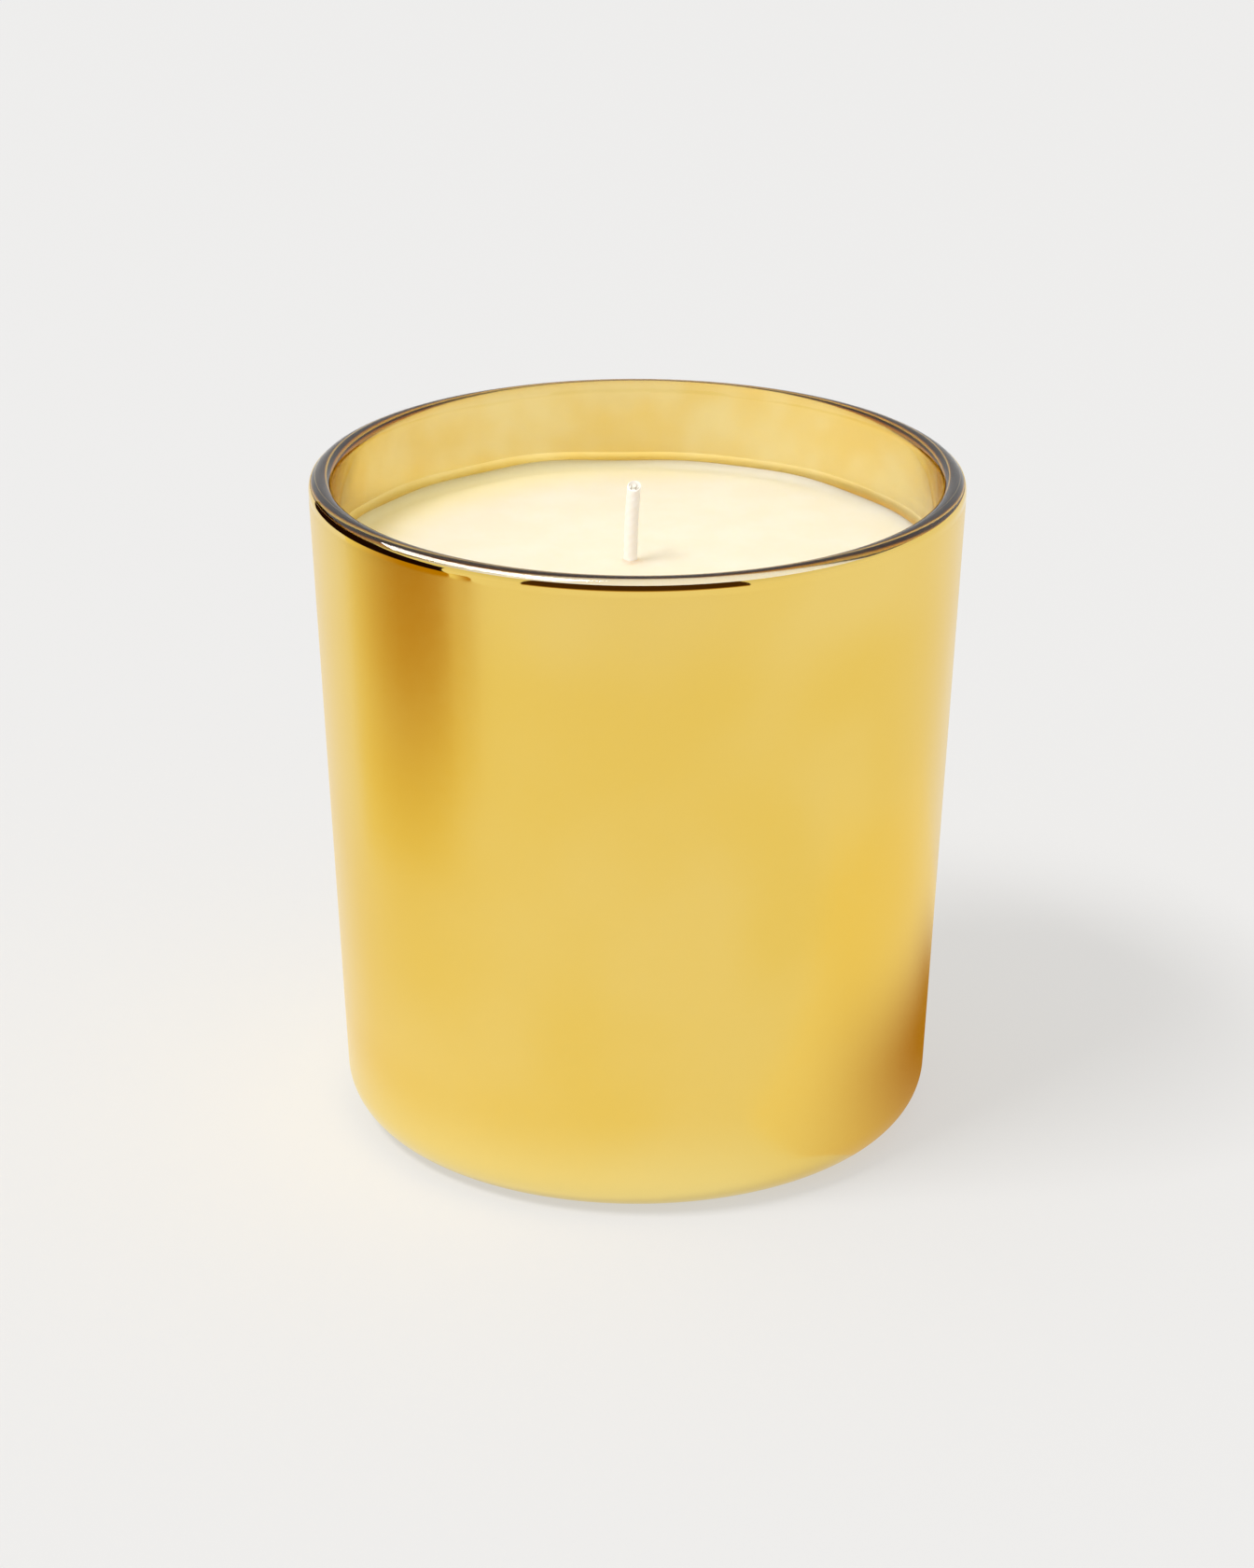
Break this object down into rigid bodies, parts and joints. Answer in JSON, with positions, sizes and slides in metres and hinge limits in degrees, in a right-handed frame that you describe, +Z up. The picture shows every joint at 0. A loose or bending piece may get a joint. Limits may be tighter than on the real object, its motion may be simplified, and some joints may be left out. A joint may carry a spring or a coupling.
{
  "type": "poured candle in a metallised glass tumbler",
  "caption": "Round glass tumbler with a satin gold outside and a bare rounded lip, filled with cream wax round a primed braided wick.",
  "frame": {"origin": "centre of the tumbler's base, in the plane that it stands on", "axes": "+Z up the tumbler's axis to its mouth; the free end of the wick leans towards +X"},
  "size_m": [0.0885, 0.0886, 0.092],
  "materials": {
    "clear_glass": "clear, fire-polished at the lip",
    "gold_coat": "satin metallised coat under clear lacquer",
    "candle_wax": "smooth poured cream wax with a slight sheen",
    "priming_wax": "thin translucent wax on cotton",
    "wick_cotton": "braided cotton",
    "wick_paper": "twisted paper",
    "tinned_steel": "tinned sheet",
    "sticker_foam": "closed-cell foam with adhesive on both faces",
    "label_paper": "blank matt label"
  },
  "bodies": {
    "root": {"glass_tumbler": "clear_glass", "gold_coat": "gold_coat", "wax_fill": "candle_wax", "wick_priming": "priming_wax", "wick_braid": "wick_cotton", "wick_core": "wick_paper", "wick_sustainer": "tinned_steel", "sustainer_sticker": "sticker_foam", "base_label": "label_paper"}
  },
  "joints": []
}
